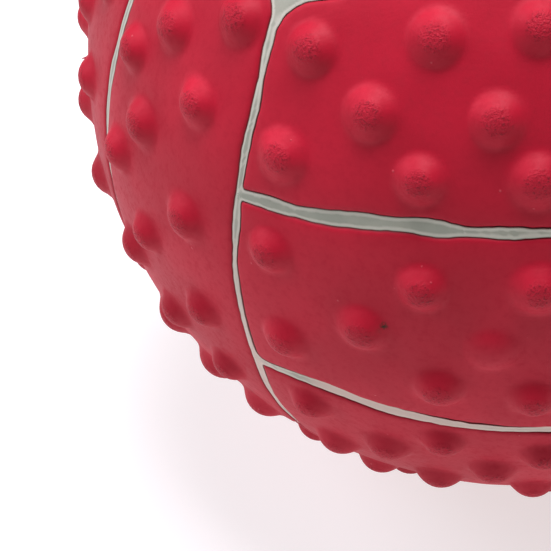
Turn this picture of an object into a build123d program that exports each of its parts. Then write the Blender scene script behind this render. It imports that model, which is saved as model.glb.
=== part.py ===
"""Playground rubber ball: eighteen nubbed rubber cover panels, laid in the pockets of a pale rubber
carcass over a thread winding, an air-tight bladder and a self-sealing inflation valve.

Millimetres.  The origin is the ball's centre, +Z leaves through the inflation valve, the front face of
the panel layout looks along -Y and the left face along -X.

The layout is a cube drawn on the ball.  Each of its six faces is cut into three panels, and the panels
of neighbouring faces run square to each other.  A place on a face is given by two angles seen from the
ball's centre: one along the panels, and one across them.
"""
import os
from math import cos, radians, sin, sqrt, tan

from build123d import *

# Driving dimensions
ball_diameter = 216.0           # over the nubs
nub_height = 3.2
nub_base_radius = 5.6           # where a nub's dome would meet the skin, without its skirt
nub_skirt_radius = 1.5
panel_thickness = 1.4
panel_corner_radius = 6.5
panel_edge_radius = 0.35
rib_width = 2.2                 # the pale rib between two panels
rib_recess = 0.5                # how far the ribs lie below the panels' skin
carcass_wall = 1.0              # under a panel
winding_thickness = 0.4
bladder_thickness = 0.9
valve_neck_radius = 5.0
valve_pocket_radius = 3.0
valve_head_radius = 4.2
valve_head_depth = 1.2
valve_flange_radius = 11.0
valve_flange_thickness = 1.6
valve_length = 16.0
valve_recess = 0.8              # the plug's top lies this much below the skin
valve_foot_thickness = 2.0
valve_hole_radius = 5.6         # in the panel, around the neck
needle_radius = 1.0
needle_lead_in = 0.5

# Radii of the layers, from the outside in
skin_radius = ball_diameter / 2 - nub_height
rib_radius = skin_radius - rib_recess
panel_back_radius = skin_radius - panel_thickness
winding_outer_radius = panel_back_radius - carcass_wall
bladder_outer_radius = winding_outer_radius - winding_thickness
bladder_inner_radius = bladder_outer_radius - bladder_thickness

touching = 0.01                 # lengths closer than this are equal
poles_aside = (90, 0, 0)        # lays a sphere's own poles along a panel, off its middle

# A nub is a ball sunk into the skin, so that its cap has the height and the base given above
nub_ball_radius = (nub_base_radius**2 + nub_height**2) / (2 * nub_height)
nub_centre_radius = ball_diameter / 2 - nub_ball_radius

# The panel layout.  Each seam is cut by a plane: its tilt in degrees, and its distance from the centre
panel_pitch = 30.0              # degrees from the middle of one panel to the next
seams = ((-45.0, 0.0), (-11.2, -7.9), (11.2, 7.9), (45.0, 0.0))
pocket_foot = 50.0              # distances of the pocket wall's two ends from the centre
pocket_mouth = 115.0

# Every face: its normal, the direction its panels run in, and its panels from low to high across it
faces = (
    ("front", (0, -1, 0), (1, 0, 0), ("lower", "middle", "upper")),
    ("back", (0, 1, 0), (-1, 0, 0), ("lower", "middle", "upper")),
    ("left", (-1, 0, 0), (0, 0, 1), ("front", "middle", "rear")),
    ("right", (1, 0, 0), (0, 0, 1), ("rear", "middle", "front")),
    ("top", (0, 0, 1), (0, 1, 0), ("right", "middle", "left")),
    ("bottom", (0, 0, -1), (0, 1, 0), ("left", "middle", "right")),
)

# Three rows of nubs on a panel: degrees across from its centre line, and degrees along it
row_offset = 7.3
side_rows = (
    (-row_offset, (-39, -23.5, -8, 8, 23.5, 39)),
    (0, (-30, -15, 0, 15, 30)),
    (row_offset, (-39, -23.5, -8, 8, 23.5, 39)),
)
# The top and bottom faces start their rows half a step later, which leaves room for the valve
polar_rows = (
    (-row_offset, (-32, -16, 0, 16, 32)),
    (0, (-39, -24.5, -9.5, 9.5, 24.5, 39)),
    (row_offset, (-32, -16, 0, 16, 32)),
)
# Nubs are laid by hand.  On these panels each has a place of its own: degrees along, degrees across
drifted_nubs = {
    "front_upper_panel": (
        (-38.5, 8.5), (-22, 8), (-8.5, 8), (7, 7.5), (23, 8), (38, 8),
        (-29, 0), (-13.5, -1.5), (0, 0), (15, 0), (30, 0),
        (-39.5, -5.5), (-22, -8), (-8.5, -8.5), (8, -8), (23, -7.5), (38.5, -7.5),
    ),
    "front_middle_panel": (
        (-40, 9), (-21, 8), (-8, 8.5), (7, 8), (23, 7.5), (39, 7.5),
        (-28, 0), (-13, -0.5), (0, 0), (15, 0), (30, 0),
        (-38.5, -7.5), (-19, -8), (-8, -8.5), (8, -7.5), (23, -8), (39, -7.5),
    ),
    "front_lower_panel": (
        (-37, 7.5), (-19, 9), (-6, 8), (8, 8), (24, 7.5), (39, 7.5),
        (-27, 3), (-12.5, 1.5), (2, 0), (17, 0), (32, 0),
        (-36, -5), (-21, -7), (-6, -8), (9, -8), (24, -7.5), (39, -7.5),
    ),
    "left_front_panel": (
        (39, -9.5), (25, -6.5), (6.5, -6.5), (-11.5, -7.5), (-25.5, -8), (-39, -7.5),
        (30, 1.5), (14.5, 3.5), (-3, 2.5), (-18, 1), (-32, 0.5),
        (39, 7.5), (22, 8.5), (6.5, 9), (-10, 8.5), (-25, 8), (-39, 7.5),
    ),
}
nub_drift = 0.5                 # degrees that any other nub strays from its row
panel_phase, row_phase, nub_phase = 5.0, 3.0, 2.0       # keep neighbours from straying alike
across_phase = 1.7


def face_plane(normal, along, distance=0.0):
    """A plane square to a face's normal, whose x axis runs along the face's panels."""
    return Plane(origin=Vector(*normal) * distance, x_dir=along, z_dir=normal)


def seam_place(distance, seam):
    """How far across a face a seam lies, on the face plane at this distance."""
    tilt, offset = seam
    return (offset + distance * sin(radians(tilt))) / cos(radians(tilt))


def pocket_outline(distance, step):
    """Centre and size of the pocket's rounded rectangle, on the face plane at this distance."""
    half_rib = rib_width / 2
    low_seam, high_seam = seams[step], seams[step + 1]
    low = seam_place(distance, low_seam) + half_rib / cos(radians(low_seam[0]))
    high = seam_place(distance, high_seam) - half_rib / cos(radians(high_seam[0]))
    end = seam_place(distance, seams[-1]) - half_rib / cos(radians(seams[-1][0]))
    return (low + high) / 2, 2 * end, high - low


def make_pocket(normal, along, step):
    """The space of one panel: walls that run inwards beside its seams, on a spherical floor."""
    with BuildPart() as pocket:
        for distance in (pocket_foot, pocket_mouth):
            middle, length, width = pocket_outline(distance, step)
            with BuildSketch(face_plane(normal, along, distance)) as outline:
                with Locations((0, middle)):
                    Rectangle(length, width)
                fillet(outline.vertices(), panel_corner_radius * distance / skin_radius)
        loft(ruled=True)
        with Locations(face_plane(normal, along)):
            Sphere(panel_back_radius, rotation=poles_aside, mode=Mode.SUBTRACT)
    return pocket.part


def drifted(rows, panel_number):
    """Places along and across a panel for the nubs of some rows, each a little astray."""
    places = []
    for row_number, (across, row) in enumerate(rows):
        for nub_number, along in enumerate(row):
            phase = panel_phase * panel_number + row_phase * row_number + nub_phase * nub_number
            astray_along = nub_drift * sin(phase)
            astray_across = nub_drift * cos(across_phase * phase)
            places.append((along + astray_along, across + astray_across))
    return places


def nub_planes(normal, along, step, places):
    """One plane for each nub, at the centre of its ball and facing straight out."""
    frame = face_plane(normal, along)
    planes = []
    for along_angle, across_angle in places:
        run = tan(radians(along_angle))
        rise = tan(radians(panel_pitch * (step - 1) + across_angle))
        out = frame.from_local_coords(Vector(run, rise, 1)).normalized()
        planes.append(Plane(origin=out * nub_centre_radius, z_dir=out))
    return planes


def nub_circles(part):
    """The round edges where the nubs meet the skin."""
    circles = part.edges().filter_by(GeomType.CIRCLE)
    return circles.filter_by(lambda edge: edge.is_closed and edge.radius < nub_ball_radius)


def rim_edges(part):
    """The outer edges of a panel, which lie on the skin and aren't part of a nub or a hole."""
    def on_skin(edge):
        height = edge.position_at(0.5).length - skin_radius
        return abs(height) < touching and not edge.is_closed
    return part.edges().filter_by(on_skin)


def make_panel(pocket, normal, along, planes, has_valve):
    """A cover panel: it fills its pocket, stands proud of the ribs and carries the nubs."""
    with BuildPart() as panel:
        with Locations(face_plane(normal, along)):
            Sphere(skin_radius, rotation=poles_aside)
        with Locations(*planes):
            Sphere(nub_ball_radius)
        fillet(nub_circles(panel), nub_skirt_radius)
        add(pocket, mode=Mode.INTERSECT)
        fillet(rim_edges(panel), panel_edge_radius)
        if has_valve:
            with Locations(face_plane(normal, along)):
                Cylinder(valve_hole_radius, ball_diameter, mode=Mode.SUBTRACT)
    return panel.part


os.makedirs("parts", exist_ok=True)

# Cover panels, and the pockets that they are laid in
pockets = []
for face_name, normal, along, panel_names in faces:
    for step, panel_name in enumerate(panel_names):
        label = f"{face_name}_{panel_name}_panel"
        rows = polar_rows if face_name in ("top", "bottom") else side_rows
        places = drifted_nubs.get(label, drifted(rows, len(pockets)))
        pocket = make_pocket(normal, along, step)
        planes = nub_planes(normal, along, step, places)
        panel = make_panel(pocket, normal, along, planes, label == "top_middle_panel")
        panel.label = label
        export_step(panel, f"parts/{label}.step")
        pockets.append(pocket)

# Carcass: a pale rubber shell whose ribs stand up between the panels
with BuildPart() as carcass:
    Sphere(rib_radius)
    for pocket in pockets:
        add(pocket, mode=Mode.SUBTRACT)
    Sphere(winding_outer_radius, mode=Mode.SUBTRACT)
    with Locations((0, 0, skin_radius)):
        Cylinder(valve_neck_radius, skin_radius, mode=Mode.SUBTRACT)
carcass.part.label = "carcass"
export_step(carcass.part, "parts/carcass.step")

# Winding layer: the thread wound over the bladder, as one closed skin of its outer shape
with BuildPart() as winding_layer:
    Sphere(winding_outer_radius)
    Sphere(bladder_outer_radius, mode=Mode.SUBTRACT)
    with Locations((0, 0, skin_radius)):
        Cylinder(valve_neck_radius, skin_radius, mode=Mode.SUBTRACT)
winding_layer.part.label = "winding_layer"
export_step(winding_layer.part, "parts/winding_layer.step")

# Bladder: the air-tight ball inside
with BuildPart() as bladder:
    Sphere(bladder_outer_radius)
    Sphere(bladder_inner_radius, mode=Mode.SUBTRACT)
    with Locations((0, 0, skin_radius)):
        Cylinder(valve_neck_radius, skin_radius, mode=Mode.SUBTRACT)
bladder.part.label = "bladder"
export_step(bladder.part, "parts/bladder.step")

# Valve heights along +Z
valve_top = skin_radius - valve_recess
valve_bottom = valve_top - valve_length
pocket_floor = valve_bottom + valve_foot_thickness
flange_face_radius = bladder_inner_radius - valve_flange_thickness


def height_on(sphere_radius, radius):
    """Height above the centre at which a sphere is this far from the valve's axis."""
    return sqrt(sphere_radius**2 - radius**2)


flange_middle_radius = (valve_neck_radius + valve_flange_radius) / 2

# Valve housing: a neck through the wall, with a flange that is bonded inside the bladder
with BuildPart() as valve_housing:
    with BuildSketch(Plane.XZ):
        with BuildLine():
            Polyline(
                (valve_neck_radius, height_on(bladder_inner_radius, valve_neck_radius)),
                (valve_neck_radius, valve_top),
                (valve_head_radius, valve_top),
                (valve_pocket_radius, valve_top - valve_head_depth),
                (valve_pocket_radius, pocket_floor),
                (needle_radius, pocket_floor),
                (needle_radius, valve_bottom),
                (valve_neck_radius, valve_bottom),
                (valve_neck_radius, height_on(flange_face_radius, valve_neck_radius)),
            )
            ThreePointArc(
                (valve_neck_radius, height_on(flange_face_radius, valve_neck_radius)),
                (flange_middle_radius, height_on(flange_face_radius, flange_middle_radius)),
                (valve_flange_radius, height_on(flange_face_radius, valve_flange_radius)),
            )
            Line(
                (valve_flange_radius, height_on(flange_face_radius, valve_flange_radius)),
                (valve_flange_radius, height_on(bladder_inner_radius, valve_flange_radius)),
            )
            ThreePointArc(
                (valve_flange_radius, height_on(bladder_inner_radius, valve_flange_radius)),
                (flange_middle_radius, height_on(bladder_inner_radius, flange_middle_radius)),
                (valve_neck_radius, height_on(bladder_inner_radius, valve_neck_radius)),
            )
        make_face()
    revolve(axis=Axis.Z)
valve_housing.part.label = "valve_housing"
export_step(valve_housing.part, "parts/valve_housing.step")

# Valve plug: soft rubber that closes round the inflation needle and seals again behind it
with BuildPart() as valve_plug:
    with BuildSketch(Plane.XZ):
        with BuildLine():
            Polyline(
                (needle_radius, pocket_floor),
                (valve_pocket_radius, pocket_floor),
                (valve_pocket_radius, valve_top - valve_head_depth),
                (valve_head_radius, valve_top),
                (needle_radius + needle_lead_in, valve_top),
                (needle_radius, valve_top - needle_lead_in),
                close=True,
            )
        make_face()
    revolve(axis=Axis.Z)
valve_plug.part.label = "valve_plug"
export_step(valve_plug.part, "parts/valve_plug.step")
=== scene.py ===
"""Looks of the playground rubber ball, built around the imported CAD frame.  Metres, same frame as the CAD.

The ball wears eighteen nubbed red panels, laid out as a cube drawn on a sphere: three panels to a face,
and the panels of neighbouring faces square to each other.  A place on a face is two angles seen from the
ball's centre, one along the panels and one across them.  Every panel is a closed mesh on one grid of
lines, and the pale carcass is built on the same lines, so that its ribs fill the gaps exactly.
"""

from math import cos, pi, radians, sin, sqrt, tan

import bmesh
import bpy
import numpy as np
from mathutils import Matrix, Vector


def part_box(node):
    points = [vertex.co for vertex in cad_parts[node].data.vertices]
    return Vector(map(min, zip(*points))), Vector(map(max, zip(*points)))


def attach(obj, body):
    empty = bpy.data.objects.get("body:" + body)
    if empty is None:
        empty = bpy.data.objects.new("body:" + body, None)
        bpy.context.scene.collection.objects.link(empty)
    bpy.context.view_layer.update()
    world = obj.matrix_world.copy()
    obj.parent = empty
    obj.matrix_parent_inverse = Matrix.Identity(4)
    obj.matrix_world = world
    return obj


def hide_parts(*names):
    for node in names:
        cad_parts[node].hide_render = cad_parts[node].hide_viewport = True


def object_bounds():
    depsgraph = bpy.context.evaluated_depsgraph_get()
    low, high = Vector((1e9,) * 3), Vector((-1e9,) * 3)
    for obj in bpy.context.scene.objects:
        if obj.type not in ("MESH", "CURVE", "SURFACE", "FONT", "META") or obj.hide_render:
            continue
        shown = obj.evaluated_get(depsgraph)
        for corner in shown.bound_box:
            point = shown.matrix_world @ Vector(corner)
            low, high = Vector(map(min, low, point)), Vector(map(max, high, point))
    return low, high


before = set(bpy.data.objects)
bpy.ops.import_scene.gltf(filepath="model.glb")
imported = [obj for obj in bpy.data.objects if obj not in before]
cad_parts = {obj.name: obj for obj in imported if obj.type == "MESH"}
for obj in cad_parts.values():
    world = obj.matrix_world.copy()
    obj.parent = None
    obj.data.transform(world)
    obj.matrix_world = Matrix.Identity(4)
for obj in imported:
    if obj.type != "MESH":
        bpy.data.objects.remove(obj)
cad_low, cad_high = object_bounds()
mm = 0.001                      # the frame is in metres

# ---------------------------------------------------------------- sizes read from the frame


def node_points(name):
    """A CAD node's vertices, one row each."""
    return np.array([v.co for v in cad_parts[name].data.vertices], float)


def node_radii(name):
    """The distances of a CAD node's vertices from the ball's centre."""
    return np.linalg.norm(node_points(name), axis=1)


carcass_radii = node_radii("carcass")
rib_radius = carcass_radii.max()
carcass_inner_radius = carcass_radii.min()
sample_radii = node_radii("front_middle_panel")
nub_top_radius = sample_radii.max()
panel_back_radius = sample_radii.min()
# The skin is the commonest radius above the ribs
rib_clearance = 0.1 * mm
radius_step = 0.01 * mm
above_ribs = sample_radii[sample_radii > rib_radius + rib_clearance]
skin_radius = np.bincount(np.round(above_ribs / radius_step).astype(int)).argmax() * radius_step
nub_height = nub_top_radius - skin_radius
neck_points = node_points("valve_housing")
neck_top = neck_points[neck_points[:, 2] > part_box("valve_housing")[1].z - mm]
neck_radius = np.hypot(neck_top[:, 0], neck_top[:, 1]).max()
valve_panel_points = node_points("top_middle_panel")
hole_radius = np.hypot(valve_panel_points[:, 0], valve_panel_points[:, 1]).min()

# ---------------------------------------------------------------- the panel layout

face_angle = radians(45)
panel_angle = radians(15)
panel_pitch = radians(30)
# A seam inside a face is cut by a plane: its tilt, and its distance from the ball's centre
seam_tilt = radians(11.2)
seam_offset = 7.9 * mm
faces = {
    "front": ((0, -1, 0), (1, 0, 0), ("lower", "middle", "upper")),
    "back": ((0, 1, 0), (-1, 0, 0), ("lower", "middle", "upper")),
    "left": ((-1, 0, 0), (0, 0, 1), ("front", "middle", "rear")),
    "right": ((1, 0, 0), (0, 0, 1), ("rear", "middle", "front")),
    "top": ((0, 0, 1), (0, 1, 0), ("right", "middle", "left")),
    "bottom": ((0, 0, -1), (0, 1, 0), ("left", "middle", "right")),
}

# The panels are laid by hand, which tugs their seams astray: face, place along and across in degrees,
# shift along and across in mm, and reach in mm
tugs = (
    ("front", -45, 45, -1.1, 0.4, 9),
    ("front", -45, 32, 0.7, 0.0, 8),
    ("front", -45, 4, -0.9, 0.0, 14),
    ("front", -45, -17, 0.9, -2.0, 9),
    ("front", -36, 17, 0.0, -0.5, 7),
    ("front", -24, 16, 0.0, 0.7, 9),
    ("front", -2, 16, 0.0, -0.6, 9),
    ("front", -33, -16, 0.0, 0.8, 8),
    ("front", -14, -16, 0.0, -0.5, 9),
    ("front", 20, 16, 0.0, 0.7, 12),
    ("front", 30, -16, 0.0, -0.6, 12),
    ("back", -30, 16, 0.0, 0.8, 12),
    ("back", 10, -16, 0.0, -0.9, 14),
    ("left", -10, 16, 0.0, 0.8, 14),
    ("left", 20, -16, 0.0, -0.6, 12),
    ("right", 12, 16, 0.0, -0.8, 14),
    ("right", -25, -16, 0.0, 0.7, 12),
    ("top", 15, 16, 0.0, 0.7, 12),
    ("top", -20, -16, 0.0, 0.6, 12),
    ("bottom", 0, 16, 0.0, -0.8, 14),
    ("top", -45, 10, 0.7, 0.0, 12),
    ("back", 45, 20, -0.8, 0.0, 12),
)


def face_axes(face):
    """Unit vectors along and across a face's panels."""
    normal, along, _ = faces[face]
    return np.array(along, float), np.cross(normal, along)


def face_direction(face, along, across):
    """The unit vector from the ball's centre at two angles in degrees on a face."""
    axis_along, axis_across = face_axes(face)
    out = faces[face][0] + tan(radians(along)) * axis_along + tan(radians(across)) * axis_across
    return out / np.linalg.norm(out)


def tug_vectors(face, along, across, shift_along, shift_across, reach):
    """The tug's centre on the unit sphere, its shift on that sphere, and its reach."""
    axis_along, axis_across = face_axes(face)
    shift = (shift_along * axis_along + shift_across * axis_across) * mm / skin_radius
    return face_direction(face, along, across), shift, reach * mm / skin_radius


tug_list = [tug_vectors(*tug) for tug in tugs]

# Full widths of the pale seams in mm, at even steps along them.  A side of a panel takes half.
default_widths = (1.9, 2.1, 1.7, 2.2, 1.8)
width_blend = 0.45              # how far each width reaches, as a share of the step to the next
seam_widths = {
    ("front_upper_panel", "low"): (3.0, 3.6, 3.2, 1.8, 1.2, 1.6, 1.9, 1.6, 1.4),
    ("front_middle_panel", "high"): (2.6, 3.3, 3.5, 2.6, 1.5, 1.2, 1.7, 1.9, 1.5),
    ("front_middle_panel", "low"): (1.5, 3.0, 2.7, 2.5, 1.8, 1.6, 1.7, 1.9, 1.6),
    ("front_lower_panel", "high"): (3.4, 3.1, 3.0, 2.6, 1.9, 1.6, 1.6, 1.8, 1.6),
    ("front_upper_panel", "start"): (1.4, 1.8, 2.2),
    ("front_middle_panel", "start"): (1.2, 1.5, 1.7),
    ("front_lower_panel", "start"): (2.2, 2.2, 2.8),
    ("left_front_panel", "low"): (2.2, 2.0, 1.7, 1.4, 1.6, 1.6, 1.8, 2.0),
}
# Corner radii in mm: start-low, start-high, end-low, end-high
default_corners = (
    (4.5, 1.2, 4.0, 1.5),       # the low panel of a face
    (1.2, 1.5, 1.4, 1.1),       # the middle one
    (1.3, 4.2, 1.6, 4.4),       # the high one
)
corner_radii = {
    "front_upper_panel": (0.9, 4.6, 1.4, 4.2),
    "front_middle_panel": (2.2, 0.7, 1.5, 1.3),
    "front_lower_panel": (4.0, 0.8, 4.2, 1.2),
    "left_front_panel": (3.2, 1.2, 2.6, 1.5),
}

# Lines of a panel's grid: close together at its rim, then evenly spaced
rim_lines = np.array((0.0, 0.1, 0.22, 0.38, 0.6, 0.9, 1.35, 2.0, 2.8, 3.8)) * mm
even_lines = 24
half_width = skin_radius * panel_angle
half_lines = np.concatenate((rim_lines[:-1], np.linspace(rim_lines[-1], half_width, even_lines + 1)))
across_lines = np.concatenate((half_lines / half_width - 1, (1 - half_lines / half_width)[-2::-1]))
seam_rounds = 30                # enough rounds for the seam's angle to settle
rim_rounds = 3                  # and for a panel's rim


def seam_angle(u):
    """The angle across a face of the upper inner seam, at this angle along it."""
    run = np.tan(u)
    out_ratio = seam_offset / skin_radius
    height = np.full_like(run, np.tan(panel_angle))
    for _ in range(seam_rounds):
        length = np.sqrt(1 + run**2 + height**2)
        height = (out_ratio * length + np.sin(seam_tilt)) / np.cos(seam_tilt)
    return np.arctan(height)


# Along the panels the lines are those of the three panels that meet its long side square on
outer_seam = float(seam_angle(np.array(face_angle)))
along_lines = np.concatenate((
    -outer_seam + (across_lines - 1) / 2 * (face_angle - outer_seam),
    across_lines[1:] * outer_seam,
    outer_seam + (across_lines[1:] + 1) / 2 * (face_angle - outer_seam),
))
coarse_step = 3                 # hidden surfaces use every third line
hole_lines = 6                  # the valve's hole is this many lines from its axis
hole_bend = 3                   # its bending of the lines ends this many times as far out
tiny = 1e-9                     # keeps a division from failing on the valve's axis

waves = np.random.default_rng(8)
slowest_wave = 0.6              # a wave's number lies between these multiples of the mean one
fastest_wave = 1.5


def smooth_noise(count, wavelength, amplitude):
    """A smooth random field in space: the sum of a few plane waves."""
    turns = waves.normal(size=(count, 3))
    spread = waves.uniform(slowest_wave, fastest_wave, (count, 1))
    turns *= (2 * pi / wavelength) * spread / np.linalg.norm(turns, axis=1)[:, None]
    phases = waves.uniform(0, 2 * pi, count)
    scale = amplitude * sqrt(2 / count)

    def field(points):
        return scale * np.sin(points @ turns.T + phases).sum(axis=-1)

    return field


rim_wobble = smooth_noise(14, 12 * mm, 0.15 * mm)
rim_jitter = smooth_noise(14, 3.5 * mm, 0.05 * mm)
skin_swell = smooth_noise(12, 42 * mm, 0.10 * mm)
skin_ripple = smooth_noise(16, 9 * mm, 0.018 * mm)
rib_wobble = smooth_noise(14, 6 * mm, 0.03 * mm)


class Cell:
    """One panel's share of the ball, from the middle of one seam to the middle of the next."""

    def __init__(self, face, name, step):
        normal, along, _ = faces[face]
        self.name = f"{face}_{name}_panel"
        self.normal = np.array(normal, float)
        self.along = np.array(along, float)
        self.across = np.cross(self.normal, self.along)
        self.centre = panel_pitch * (step - 1)
        self.corners = corner_radii.get(self.name, default_corners[step])
        self.has_valve = self.name == "top_middle_panel"
        self.lines_u, self.fraction_v = np.meshgrid(along_lines, across_lines, indexing="ij")
        self.fraction_u = self.lines_u / face_angle
        inner = seam_angle(self.lines_u)
        outer = np.full_like(inner, face_angle)
        self.low_edge = (-outer, -inner, inner)[step]
        self.high_edge = (-inner, inner, outer)[step]
        share = (self.fraction_v + 1) / 2
        self.lines_v = self.low_edge * (1 - share) + self.high_edge * share

    def directions(self, u, v):
        """Unit vectors from the ball's centre at these angles along and across the face."""
        out = self.normal + np.tan(u)[..., None] * self.along + np.tan(v)[..., None] * self.across
        out /= np.linalg.norm(out, axis=-1, keepdims=True)
        pull = np.zeros_like(out)
        for centre, shift, reach in tug_list:
            distance = np.linalg.norm(out - centre, axis=-1, keepdims=True)
            pull += np.exp(-((distance / reach) ** 2)) * shift
        out += pull
        return out / np.linalg.norm(out, axis=-1, keepdims=True)

    def half_gap(self, side, fraction):
        """Half of the seam's width on one side of the panel, at -1 to 1 along that side."""
        widths = seam_widths.get((self.name, side), default_widths)
        places = np.linspace(-1, 1, len(widths))
        reach = 2 / (len(widths) - 1)
        total = np.zeros_like(fraction)
        weights = np.zeros_like(fraction)
        for place, width in zip(places, widths):
            weight = np.exp(-((fraction - place) / (width_blend * reach)) ** 2)
            total += weight * width
            weights += weight
        return total / weights * mm / 2

    def rim_map(self, inset):
        """Angles of the panel's grid, drawn in to its rim, and each line's distance from that rim."""
        u, v = self.lines_u.copy(), self.lines_v.copy()
        low_edge, high_edge = self.low_edge, self.high_edge
        for _ in range(rim_rounds):
            points = self.directions(u, v) * skin_radius
            wobble = rim_wobble(points) + rim_jitter(points) + inset
            length = np.sqrt(1 + np.tan(u) ** 2 + np.tan(v) ** 2)
            scale_u = skin_radius * np.sqrt(1 + np.tan(u) ** 2) / length
            scale_v = skin_radius * np.sqrt(1 + np.tan(v) ** 2) / length
            start = (self.half_gap("start", self.fraction_v) + wobble) / scale_u
            end = (self.half_gap("end", self.fraction_v) + wobble) / scale_u
            low = (self.half_gap("low", self.fraction_u) + wobble) / scale_v
            high = (self.half_gap("high", self.fraction_u) + wobble) / scale_v
            share_u, share_v = (self.fraction_u + 1) / 2, (self.fraction_v + 1) / 2
            u = (start - face_angle) * (1 - share_u) + (face_angle - end) * share_u
            v = (low_edge + low) * (1 - share_v) + (high_edge - high) * share_v
        away_u = np.minimum(u + face_angle - start, face_angle - end - u) * scale_u
        away_v = np.minimum(v - low_edge - low, high_edge - high - v) * scale_v
        away_u, away_v = np.maximum(away_u, 0), np.maximum(away_v, 0)
        rim = np.minimum(away_u, away_v)
        for number, radius in enumerate(self.corners):
            radius *= mm
            at_end, at_high = divmod(number, 2)
            here = (away_u < radius) & (away_v < radius)
            here &= (self.fraction_u > 0) == bool(at_end)
            here &= (self.fraction_v > 0) == bool(at_high)
            x, y = 1 - away_u / radius, 1 - away_v / radius
            round_x = x * np.sqrt(np.maximum(1 - y**2 / 2, 0))
            round_y = y * np.sqrt(np.maximum(1 - x**2 / 2, 0))
            u = np.where(here, u - (2 * at_end - 1) * (x - round_x) * radius / scale_u, u)
            v = np.where(here, v - (2 * at_high - 1) * (y - round_y) * radius / scale_v, v)
            rim = np.where(here, radius * (1 - np.hypot(round_x, round_y)), rim)
        return u, v, np.maximum(rim, 0)

    def open_hole(self, u, v, radius):
        """Bends the grid lines round the valve to leave a round hole, and finds distances from its edge."""
        lines = np.arange(count_u) - middle_u, np.arange(count_v) - middle_v
        x, y = np.meshgrid(lines[0] / hole_lines, lines[1] / hole_lines, indexing="ij")
        square = np.maximum(np.abs(x), np.abs(y)) + tiny
        share = np.clip((hole_bend - square) / (hole_bend - 1), 0, 1)
        share = share**2 * (3 - 2 * share)
        round_u = x * np.sqrt(np.maximum(1 - y**2 / (2 * square**2), 0)) * radius / skin_radius
        round_v = y * np.sqrt(np.maximum(1 - x**2 / (2 * square**2), 0)) * radius / skin_radius
        u = u + share * (round_u - u)
        v = v + share * (round_v - v)
        return u, v, np.hypot(u, v) * skin_radius - radius


cells = [Cell(face, name, step) for face, (_, _, names) in faces.items() for step, name in enumerate(names)]

# ---------------------------------------------------------------- mesh tools

count_u, count_v = len(along_lines), len(across_lines)
middle_u, middle_v = count_u // 2, count_v // 2
joining_distance = 0.002 * mm
sharp_angle = 50                # degrees between faces beyond which an edge shows


def add_object(name, data):
    """A new object, linked to the scene."""
    new = bpy.data.objects.new(name, data)
    bpy.context.scene.collection.objects.link(new)
    return new


def perimeter():
    """Grid places round the rim, anticlockwise as seen from outside the ball."""
    low = [(i, 0) for i in range(count_u - 1)]
    end = [(count_u - 1, j) for j in range(count_v - 1)]
    high = [(i, count_v - 1) for i in range(count_u - 1, 0, -1)]
    start = [(0, j) for j in range(count_v - 1, 0, -1)]
    return low + end + high + start


def hole_loop(step):
    """Grid places round the valve's hole, clockwise as seen from outside."""
    k = hole_lines
    low = [(middle_u + i, middle_v - k) for i in range(-k, k, step)]
    end = [(middle_u + k, middle_v + j) for j in range(-k, k, step)]
    high = [(middle_u + i, middle_v + k) for i in range(k, -k, -step)]
    start = [(middle_u - k, middle_v + j) for j in range(k, -k, -step)]
    return (low + end + high + start)[::-1]


def in_hole(i, j, step):
    """True for a grid square inside the valve's hole."""
    k = hole_lines
    return -k <= i - middle_u <= k - step and -k <= j - middle_v <= k - step


def walk(first, last, step):
    """The places from first up to but not including last, in either direction."""
    (i0, j0), (i1, j1) = first, last
    count = max(abs(i1 - i0), abs(j1 - j0)) // step
    return [(i0 + (i1 - i0) * k // count, j0 + (j1 - j0) * k // count) for k in range(count)]


class Builder:
    """Gathers points, faces and per-point values, then makes a mesh object of them."""

    def __init__(self):
        self.points = []
        self.faces = []
        self.values = {}
        self.total = 0

    def add(self, points, **values):
        """Adds points of any grid shape, and returns their numbers in that shape."""
        shape = points.shape[:-1]
        count = int(np.prod(shape))
        self.points.append(points.reshape(-1, 3))
        for key in set(self.values) | set(values):
            rows = self.values.setdefault(key, [np.zeros(self.total)])
            rows.append(np.broadcast_to(values.get(key, 0.0), shape).reshape(-1))
        numbers = np.arange(self.total, self.total + count).reshape(shape)
        self.total += count
        return numbers

    def strip(self, inner, outer):
        """Quads between two closed loops of the same length."""
        for k in range(len(inner)):
            n = (k + 1) % len(inner)
            self.faces.append((inner[k], outer[k], outer[n], inner[n]))

    def sheet(self, numbers, step=1, fine_rim=False, hole=False, inward=False):
        """Faces of one grid.  With fine_rim, the outermost faces also take the points between steps."""
        for i in range(0, count_u - 1, step):
            for j in range(0, count_v - 1, step):
                if hole and in_hole(i, j, step):
                    continue
                far_i, far_j = i + step, j + step
                low = walk((i, j), (far_i, j), 1 if fine_rim and j == 0 else step)
                end = walk((far_i, j), (far_i, far_j), 1 if fine_rim and far_i == count_u - 1 else step)
                high = walk((far_i, far_j), (i, far_j), 1 if fine_rim and far_j == count_v - 1 else step)
                start = walk((i, far_j), (i, j), 1 if fine_rim and i == 0 else step)
                corners = [numbers[place] for place in low + end + high + start]
                self.faces.append(corners[::-1] if inward else corners)

    def make(self, name, material):
        """Joins the points that meet, faces everything outwards, and links the object."""
        mesh = bpy.data.meshes.new(name)
        mesh.from_pydata(np.concatenate(self.points), [], [[int(n) for n in face] for face in self.faces])
        for key, rows in self.values.items():
            attribute = mesh.attributes.new(key, "FLOAT", "POINT")
            attribute.data.foreach_set("value", np.concatenate(rows).astype(np.float32))
        work = bmesh.new()
        work.from_mesh(mesh)
        bmesh.ops.remove_doubles(work, verts=work.verts, dist=joining_distance)
        loose = [v for v in work.verts if not v.link_faces]
        bmesh.ops.delete(work, geom=loose, context="VERTS")
        bmesh.ops.recalc_face_normals(work, faces=work.faces)
        work.to_mesh(mesh)
        work.free()
        mesh.shade_smooth()
        mesh.set_sharp_from_angle(angle=radians(sharp_angle))
        mesh.materials.append(material)
        return add_object(name, mesh)


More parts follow.
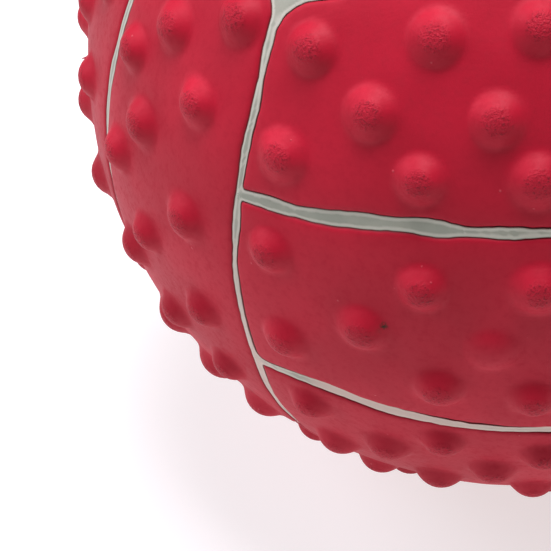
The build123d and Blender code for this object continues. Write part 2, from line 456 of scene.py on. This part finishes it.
# ---------------------------------------------------------------- panels

nub_base = 5.2 * mm             # radius at which a nub's round cap would meet the skin
nub_foot = 0.82 * mm            # how softly it does so
rim_depth = 0.8 * mm            # how far a panel's rim rolls down
rim_roll = 1.15 * mm            # over what distance it does so
rim_sag = 0.22 * mm             # and a shallow fall further in
rim_sag_reach = 5.0 * mm
laying_gap = 0.03 * mm          # between a panel's wall and the carcass
nub_spread = 0.05               # how much the nubs' bases differ in size
nub_phase = 2.4                 # keeps neighbours from being alike
nub_cap_share = 0.94            # the round cap ends at this share of its ball's radius
nub_cap_slope = 2.5             # and falls this steeply from there
nub_top_share = 0.8             # CAD points above this share of the nub height lie on a nub
nub_spacing = 6 * mm            # less than the distance between two nubs

# One nub came out of its mould low: its place in degrees along and across, and its share of the height
low_nubs = {"front_middle_panel": ((-13, -0.5), 0.55)}


def nub_directions(name):
    """The nubs' centres, found as the highest points of the CAD node."""
    points = node_points(name)
    radii = np.linalg.norm(points, axis=1)
    high = points[radii > skin_radius + nub_top_share * nub_height]
    high = high[np.argsort(-np.linalg.norm(high, axis=1), kind="stable")]
    found = []
    for point in high:
        if all(np.linalg.norm(point - other) > nub_spacing for other in found):
            found.append(point)
    return [point / np.linalg.norm(point) for point in found]


def nub_field(cell, directions):
    """Share of a full nub's height at each point, from 0 on the skin to 1 on a nub's top."""
    field = np.zeros(directions.shape[:-1])
    for number, centre in enumerate(nub_directions(cell.name)):
        distance = np.linalg.norm(directions - centre, axis=-1) * skin_radius
        base = nub_base * (1 + nub_spread * sin(nub_phase * number))
        ball = (base**2 + nub_height**2) / (2 * nub_height)
        turn = nub_cap_share * ball
        cap = np.sqrt(ball**2 - np.minimum(distance, turn) ** 2) - (ball - nub_height)
        cap -= np.maximum(distance - turn, 0) * nub_cap_slope
        share = 1.0
        if cell.name in low_nubs:
            (along, across), low_share = low_nubs[cell.name]
            place = cell.directions(np.radians(along), cell.centre + np.radians(across))
            share = low_share if np.linalg.norm(place - centre) * skin_radius < nub_base else 1.0
        field += share * nub_foot * np.logaddexp(0, cap / nub_foot) / nub_height
    return np.minimum(field, 1.0)


def roll_down(rim):
    """How far the surface has dropped at this distance from the rim."""
    inside = np.clip(1 - rim / rim_roll, 0, 1)
    sag = np.clip(1 - rim / rim_sag_reach, 0, 1)
    return rim_depth * (1 - np.sqrt(1 - inside**2)) + rim_sag * sag**2


def make_panel(cell, material):
    """A closed nubbed panel: skin, rolled rim, walls and back."""
    u, v, rim = cell.rim_map(laying_gap)
    if cell.has_valve:
        u, v, hole = cell.open_hole(u, v, hole_radius)
        rim = np.minimum(rim, np.maximum(hole, 0))
    directions = cell.directions(u, v)
    nubs = nub_field(cell, directions)
    on_skin = directions * skin_radius
    height = skin_radius + nubs * nub_height + skin_swell(on_skin) + skin_ripple(on_skin) - roll_down(rim)
    build = Builder()
    top = build.add(directions * height[..., None], nub=nubs, rim=rim / mm)
    back = build.add(directions * panel_back_radius)
    build.sheet(top, hole=cell.has_valve)
    back_step = 1 if cell.has_valve else coarse_step
    build.sheet(back, step=back_step, fine_rim=True, hole=cell.has_valve, inward=True)
    loops = [perimeter(), hole_loop(1)] if cell.has_valve else [perimeter()]
    for loop in loops:
        build.strip([back[place] for place in loop[::-1]], [top[place] for place in loop[::-1]])
    return build.make(cell.name.replace("_panel", "_skin"), material)


# ---------------------------------------------------------------- carcass

rib_rows = (0.0, 0.3, 1.0)      # rows of a rib's top, from a panel's rim to the middle of the seam
rib_crown = 0.06 * mm           # how much the middle stands above the rib's edges
floor_clearance = 0.02 * mm     # between a panel's back and its pocket's floor
# The hole in the carcass is a polygon that clears the round neck
neck_hole_radius = neck_radius / cos(pi / len(hole_loop(coarse_step)))


def make_carcass(material):
    """The pale shell: one pocket for each panel, with ribs standing between the pockets."""
    build = Builder()
    loop = perimeter()
    for cell in cells:
        u, v, _ = cell.rim_map(0)
        inner_u, inner_v = cell.lines_u, cell.lines_v
        if cell.has_valve:
            u, v, _ = cell.open_hole(u, v, neck_hole_radius)
            inner_u, inner_v, _ = cell.open_hole(inner_u, inner_v, neck_hole_radius)
        pocket = cell.directions(u, v)
        edge = cell.directions(cell.lines_u, cell.lines_v)
        floor = build.add(pocket * (panel_back_radius - floor_clearance))
        inside = build.add(cell.directions(inner_u, inner_v) * carcass_inner_radius)
        build.sheet(floor, step=coarse_step, fine_rim=True, hole=cell.has_valve)
        build.sheet(inside, step=coarse_step, hole=cell.has_valve, inward=True)
        rim = np.array([pocket[place] for place in loop])
        seam = np.array([edge[place] for place in loop])
        rows = [[floor[place] for place in loop]]
        for share in rib_rows:
            out = rim * (1 - share) + seam * share
            out /= np.linalg.norm(out, axis=1)[:, None]
            crown = rib_crown * (1 - (1 - share) ** 2)
            radius = rib_radius - rib_crown + crown + rib_wobble(out * skin_radius) * share
            inset = np.linalg.norm(out - rim, axis=1) * skin_radius
            rows.append(build.add(out * radius[:, None], inset=inset / mm))
        for inner, outer in zip(rows, rows[1:]):
            build.strip(inner, outer)
        if cell.has_valve:
            floor_loop = [floor[place] for place in hole_loop(coarse_step)]
            inside_loop = [inside[place] for place in hole_loop(coarse_step)]
            build.strip(floor_loop[::-1], inside_loop[::-1])
    return build.make("carcass_rubber", material)


# ---------------------------------------------------------------- materials


class Shader:
    """A small helper that adds nodes to one material and links them."""

    def __init__(self, name):
        self.material = bpy.data.materials.new(name)
        self.material.use_nodes = True
        self.tree = self.material.node_tree
        self.surface = self.tree.nodes["Principled BSDF"]
        self.object_space = self.node("ShaderNodeTexCoord").outputs["Object"]

    def node(self, kind, **settings):
        node = self.tree.nodes.new(kind)
        for key, value in settings.items():
            setattr(node, key, value)
        return node

    def link(self, source, target):
        self.tree.links.new(source, target)

    def value(self, name):
        """A value stored on the mesh: nub from 0 to 1, or rim or inset, distances from a rim in mm."""
        return self.node("ShaderNodeAttribute", attribute_name=name).outputs["Fac"]

    def noise(self, size, detail=2.0, roughness=0.5):
        """Cloudy noise whose blotches are about this large."""
        node = self.node("ShaderNodeTexNoise")
        self.link(self.object_space, node.inputs["Vector"])
        node.inputs["Scale"].default_value = 1 / size
        node.inputs["Detail"].default_value = detail
        node.inputs["Roughness"].default_value = roughness
        return node.outputs["Fac"]

    def spots(self, size):
        """Distance to the nearest of many scattered points, about this far apart."""
        node = self.node("ShaderNodeTexVoronoi")
        self.link(self.object_space, node.inputs["Vector"])
        node.inputs["Scale"].default_value = 1 / size
        return node.outputs["Distance"]

    def near(self, point, radius):
        """1 at a point of the object and 0 beyond about this distance from it."""
        node = self.node("ShaderNodeVectorMath", operation="DISTANCE")
        self.link(self.object_space, node.inputs[0])
        node.inputs[1].default_value = tuple(point)
        return self.remap(node.outputs["Value"], 0.3 * radius, radius, 1.0, 0.0)

    def remap(self, source, low, high, new_low=0.0, new_high=1.0):
        """Eases a value from one range to another, and holds it at the ends."""
        node = self.node("ShaderNodeMapRange", interpolation_type="SMOOTHSTEP")
        self.link(source, node.inputs["Value"])
        for key, number in (("From Min", low), ("From Max", high), ("To Min", new_low), ("To Max", new_high)):
            node.inputs[key].default_value = number
        return node.outputs["Result"]

    def math(self, operation, first, second):
        """Arithmetic on two items, each a number or another node's output."""
        node = self.node("ShaderNodeMath", operation=operation)
        for socket, item in zip(node.inputs, (first, second)):
            if isinstance(item, (int, float)):
                socket.default_value = item
            else:
                self.link(item, socket)
        return node.outputs["Value"]

    def mix(self, share, first, second):
        """A colour between two others, each a colour or another node's output."""
        node = self.node("ShaderNodeMix", data_type="RGBA")
        self.link(share, node.inputs["Factor"])
        colour_sockets = [s for s in node.inputs if s.type == "RGBA"]
        for socket, item in zip(colour_sockets, (first, second)):
            if isinstance(item, tuple):
                socket.default_value = (*item, 1)
            else:
                self.link(item, socket)
        return [s for s in node.outputs if s.type == "RGBA"][0]

    def bump(self, height, distance, under=None):
        """Small relief: height from 0 to 1 becomes this distance."""
        node = self.node("ShaderNodeBump")
        self.link(height, node.inputs["Height"])
        node.inputs["Distance"].default_value = distance
        node.inputs["Strength"].default_value = 1.0
        if under is not None:
            self.link(under, node.inputs["Normal"])
        return node.outputs["Normal"]

    def finish(self, colour, roughness, normal):
        """Links the three to the surface, and returns the material."""
        self.link(colour, self.surface.inputs["Base Color"])
        self.link(roughness, self.surface.inputs["Roughness"])
        self.link(normal, self.surface.inputs["Normal"])
        return self.material


# Specks of dirt: face, place along and across it in degrees, and radius in mm
dirt = (("front", -26.1, 0.8, 2.0), ("front", -25.4, 1.5, 1.4), ("front", 21, -33, 0.9), ("back", 8, 24, 1.0))


def red_rubber():
    """Matte moulded rubber: cloudy red, a pitted grain on the nubs' tops, and painted shade along the rims at
    the seams.
    """
    deep_red = (0.39, 0.005, 0.021)
    bright_red = (0.45, 0.007, 0.026)
    mottled_red = (0.31, 0.004, 0.017)
    pit_red = (0.15, 0.003, 0.010)
    crevice_shade_red = (0.11, 0.014, 0.018)
    speck_pink = (0.60, 0.10, 0.12)
    dirt_brown = (0.03, 0.02, 0.01)
    cloud_size = 26 * mm
    mottle_size = 1.6 * mm
    grain_size = 0.60 * mm
    fine_size = 0.9 * mm
    speck_spacing = 7 * mm
    grain_relief = 0.45 * mm
    fine_relief = 0.05 * mm
    speck_relief = 0.10 * mm

    shader = Shader("red_rubber")
    nub = shader.value("nub")
    rim = shader.value("rim")
    cloud = shader.remap(shader.noise(cloud_size, 3), 0.35, 0.68)
    colour = shader.mix(cloud, deep_red, bright_red)
    mottle = shader.remap(shader.noise(mottle_size, 4, 0.65), 0.4, 0.75)
    colour = shader.mix(shader.math("MULTIPLY", mottle, 0.30), colour, mottled_red)
    grain = shader.noise(grain_size, 3, 0.6)
    top = shader.remap(nub, 0.60, 0.90)
    pits = shader.math("MULTIPLY", shader.remap(grain, 0.53, 0.66), top)
    colour = shader.mix(shader.math("MULTIPLY", pits, 0.65), colour, pit_red)
    for face, along, across, size in dirt:
        spot = shader.near(face_direction(face, along, across) * skin_radius, size * mm)
        spot = shader.math("MULTIPLY", spot, shader.remap(grain, 0.40, 0.55))
        colour = shader.mix(spot, colour, dirt_brown)
    # Painted shade: the rubber darkens within half a millimetre of the panel's rim, where the seam's crevice
    # is
    edge = shader.remap(rim, 0.10, 0.42, 1.0, 0.0)
    colour = shader.mix(shader.math("MULTIPLY", edge, 0.75), colour, crevice_shade_red)
    specks = shader.remap(shader.spots(speck_spacing), 0.02, 0.05, 1.0, 0.0)
    colour = shader.mix(shader.math("MULTIPLY", specks, 0.5), colour, speck_pink)
    specked = shader.bump(specks, speck_relief)
    fine = shader.bump(shader.noise(fine_size, 4, 0.65), fine_relief, under=specked)
    rough = shader.bump(shader.math("MULTIPLY", grain, top), grain_relief, under=fine)
    shader.surface.inputs["Specular IOR Level"].default_value = 0.20
    return shader.finish(colour, shader.remap(mottle, 0, 1, 0.58, 0.68), rough)


def pale_rubber():
    """The carcass: pale grey rubber, slightly green, with a painted highlight and painted shade along the
    panels' edges, and painted reddish bounce light towards the bottom.
    """
    dark_grey = (0.26, 0.28, 0.22)
    light_grey = (0.32, 0.33, 0.26)
    grime_grey = (0.23, 0.24, 0.19)
    highlight_grey = (0.54, 0.53, 0.44)
    bounce_pink = (0.60, 0.44, 0.38)
    crevice_shade_red = (0.24, 0.07, 0.07)
    cloud_size = 9 * mm
    grime_size = 1.3 * mm
    patch_size = 30 * mm
    grain_size = 0.6 * mm
    grain_relief = 0.03 * mm
    bounce_full = -30 * mm           # the painted reddish bounce light fades from this height
    bounce_gone = 25 * mm            # to this one

    shader = Shader("pale_rubber")
    inset = shader.value("inset")
    height = shader.node("ShaderNodeSeparateXYZ")
    shader.link(shader.object_space, height.inputs["Vector"])
    cloud = shader.remap(shader.noise(cloud_size, 3), 0.35, 0.65)
    colour = shader.mix(cloud, dark_grey, light_grey)
    grime = shader.remap(shader.noise(grime_size, 4, 0.7), 0.5, 0.8)
    colour = shader.mix(shader.math("MULTIPLY", grime, 0.35), colour, grime_grey)
    # Painted highlight: a lighter band along the rib, a little in from each panel's wall
    edge_highlight = shader.math("MULTIPLY", shader.remap(inset, 0.1, 0.3), shader.remap(inset, 0.5, 1.1, 1.0, 0.0))
    colour = shader.mix(shader.math("MULTIPLY", edge_highlight, 0.75), colour, highlight_grey)
    # Painted reddish bounce light: the seams turn pinker towards the bottom, in patches
    bounce_tint = shader.remap(height.outputs["Z"], bounce_full, bounce_gone, 0.75, 0.0)
    patchy = shader.remap(shader.noise(patch_size, 2), 0.35, 0.55)
    colour = shader.mix(shader.math("MULTIPLY", bounce_tint, patchy), colour, bounce_pink)
    # Painted shade: the rib darkens right against the panels' walls, where the crevice is
    edge = shader.remap(inset, 0.0, 0.14, 1.0, 0.0)
    colour = shader.mix(shader.math("MULTIPLY", edge, 0.7), colour, crevice_shade_red)
    grain = shader.bump(shader.noise(grain_size, 3, 0.6), grain_relief)
    return shader.finish(colour, shader.remap(grime, 0, 1, 0.55, 0.7), grain)


def dark_rubber(name, colour, worn, relief):
    """Smooth dark rubber with a faint bloom, for the valve and the bladder."""
    bloom_size = 7 * mm
    grain_size = 0.7 * mm
    shader = Shader(name)
    bloom = shader.remap(shader.noise(bloom_size, 4, 0.6), 0.45, 0.75)
    tint = shader.mix(bloom, colour, worn)
    grain = shader.bump(shader.noise(grain_size, 4, 0.6), relief)
    return shader.finish(tint, shader.remap(bloom, 0, 1, 0.42, 0.62), grain)


def wound_thread():
    """Off-white thread wound in three directions, as fine ridges."""
    thread_shade = (0.40, 0.37, 0.30)
    thread_light = (0.74, 0.71, 0.63)
    ridge_scale = 1 / (5 * mm)
    ridge_wander = 0.4
    ridge_relief = 0.25 * mm
    winding_turns = ((0.0, 0.0, 0.0), (0.9, 0.3, 0.0), (0.2, 1.1, 0.5))     # in radians

    shader = Shader("wound_thread")
    ridges = None
    for turn in winding_turns:
        mapping = shader.node("ShaderNodeMapping")
        shader.link(shader.object_space, mapping.inputs["Vector"])
        mapping.inputs["Rotation"].default_value = turn
        wave = shader.node("ShaderNodeTexWave", wave_type="BANDS", bands_direction="Z")
        shader.link(mapping.outputs["Vector"], wave.inputs["Vector"])
        wave.inputs["Scale"].default_value = ridge_scale
        wave.inputs["Distortion"].default_value = ridge_wander
        band = wave.outputs["Fac"]
        ridges = band if ridges is None else shader.math("MAXIMUM", ridges, band)
    shade = shader.remap(ridges, 0.2, 0.9)
    colour = shader.mix(shade, thread_shade, thread_light)
    return shader.finish(colour, shader.remap(shade, 0, 1, 0.8, 0.6), shader.bump(ridges, ridge_relief))


def pale_floor():
    """A plain near-white floor with the faintest texture.  Its glow lights the ball from below."""
    grey = (0.44, 0.44, 0.44)
    light_grey = (0.46, 0.46, 0.46)
    cloud_size = 0.3
    floor_glow = 0.66
    shader = Shader("pale_floor")
    cloud = shader.remap(shader.noise(cloud_size, 2), 0.3, 0.7)
    shader.link(shader.mix(cloud, grey, light_grey), shader.surface.inputs["Base Color"])
    shader.surface.inputs["Roughness"].default_value = 0.9
    shader.surface.inputs["Specular IOR Level"].default_value = 0.0
    shader.surface.inputs["Emission Color"].default_value = (1, 1, 1, 1)
    shader.surface.inputs["Emission Strength"].default_value = floor_glow
    return shader.material


# ---------------------------------------------------------------- flash spikes

# Thin spikes of flash, where the rubber crept into the mould's vents: face, place along and across it in
# degrees, and length in mm.  A spike's outline is radii in mm at shares of its length
flash = (("left", 7.6, -2.0, 1.5), ("left", -20, 3, 0.9), ("right", 12, 4, 1.1), ("back", -14, -1, 1.0))
spike_outline = ((0.0, 0.50), (0.35, 0.42), (0.6, 0.24), (0.85, 0.15), (1.0, 0.05))     # share, radius
spike_root = 0.6                # mm below the skin
spike_bend = 0.35               # mm aside at the tip
spike_sides = 12


def make_spike(name, face, along, across, length, material):
    """A thin bent cone that stands on the skin."""
    foot = Vector(face_direction(face, along, across) * (skin_radius - spike_root * mm))
    out = foot.normalized()
    side = out.orthogonal().normalized()
    turns = np.linspace(0, 2 * pi, spike_sides + 1)[:-1]
    build = Builder()
    rings = []
    for share, radius in spike_outline:
        middle = foot + out * (spike_root + length) * mm * share + side * spike_bend * mm * share**2
        ring = [middle + (side * cos(t) + out.cross(side) * sin(t)) * radius * mm for t in turns]
        rings.append(build.add(np.array(ring), nub=0.0, rim=rim_sag_reach / mm))
    for low, high in zip(rings, rings[1:]):
        build.strip(high[::-1], low[::-1])
    build.faces.append(list(rings[0])[::-1])
    build.faces.append(list(rings[-1]))
    return build.make(name, material)


# ---------------------------------------------------------------- the ball

red = red_rubber()
for cell in cells:
    skin = make_panel(cell, red)
    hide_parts(cell.name)
    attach(skin, "root")

carcass = make_carcass(pale_rubber())
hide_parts("carcass")
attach(carcass, "root")

for number, (face, along, across, length) in enumerate(flash):
    spike = make_spike(f"mould_flash_{number + 1}", face, along, across, length, red)
    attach(spike, "root")

kept_nodes = {
    "winding_layer": wound_thread(),
    "bladder": dark_rubber("butyl_rubber", (0.012, 0.012, 0.013), (0.035, 0.034, 0.033), 0.02 * mm),
    "valve_housing": dark_rubber("valve_rubber", (0.02, 0.018, 0.018), (0.06, 0.055, 0.05), 0.03 * mm),
    "valve_plug": dark_rubber("plug_rubber", (0.06, 0.045, 0.035), (0.12, 0.10, 0.08), 0.03 * mm),
}
for name, material in kept_nodes.items():
    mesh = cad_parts[name].data
    mesh.materials.clear()
    mesh.materials.append(material)

# ---------------------------------------------------------------- floor, lights and camera

floor_reach = 6.0               # from its middle to its sides
floor_signs = ((-1, -1), (1, -1), (1, 1), (-1, 1))
floor_corners = [(x * floor_reach, y * floor_reach, cad_low.z) for x, y in floor_signs]
floor_mesh = bpy.data.meshes.new("floor")
floor_mesh.from_pydata(floor_corners, [], [(0, 1, 2, 3)])
floor_mesh.materials.append(pale_floor())
add_object("floor", floor_mesh)


def soft_box(name, azimuth, elevation, distance, size, power, colour):
    """A square soft light aimed at the ball's centre.  Azimuth 0 is in front, and 90 degrees on the right."""
    light = bpy.data.lights.new(name, "AREA")
    light.shape = "SQUARE"
    light.size = size
    light.energy = power
    light.color = colour
    a, e = radians(azimuth), radians(elevation)
    away = Vector((sin(a) * cos(e), -cos(a) * cos(e), sin(e)))
    box = add_object(name, light)
    box.location = away * distance
    box.rotation_mode = "QUATERNION"
    box.rotation_quaternion = away.to_track_quat("Z", "Y")


# Distance and size in metres, power in watts
soft_box("top_light", 120, 84, distance=1.6, size=1.0, power=44, colour=(1.0, 0.97, 1.06))
soft_box("left_light", -105, 35, distance=1.8, size=1.0, power=19, colour=(1.0, 0.96, 1.10))

world = bpy.data.worlds.new("studio")
world.use_nodes = True
background = world.node_tree.nodes["Background"]
background.inputs["Color"].default_value = (1, 1, 1, 1)
background.inputs["Strength"].default_value = 0.04
bpy.context.scene.world = world
bpy.context.scene.view_settings.view_transform = "Standard"

# The camera stands close to the ball, above it and to its left, and aims below and left of its middle
camera_azimuth = radians(-11.75)
camera_elevation = radians(34.52)
camera_distance = 4.5 * skin_radius
aim_left = radians(7.01)
aim_down = radians(6.78)
camera_roll = radians(1.47)
camera_lens = 123.25            # in mm, for the sensor below
camera_sensor = 36
camera_near = 0.01

back = Vector((
    sin(camera_azimuth) * cos(camera_elevation),
    -cos(camera_azimuth) * cos(camera_elevation),
    sin(camera_elevation),
))
camera_data = bpy.data.cameras.new("camera")
camera_data.sensor_width = camera_sensor
camera_data.lens = camera_lens
camera_data.clip_start = camera_near
camera = add_object("camera", camera_data)
aim = back.to_track_quat("Z", "Y").to_matrix()
aim = aim @ Matrix.Rotation(aim_left, 3, "Y") @ Matrix.Rotation(-aim_down, 3, "X")
aim = aim @ Matrix.Rotation(camera_roll, 3, "Z")
camera.matrix_world = Matrix.Translation(back * camera_distance) @ aim.to_4x4()
bpy.context.scene.camera = camera
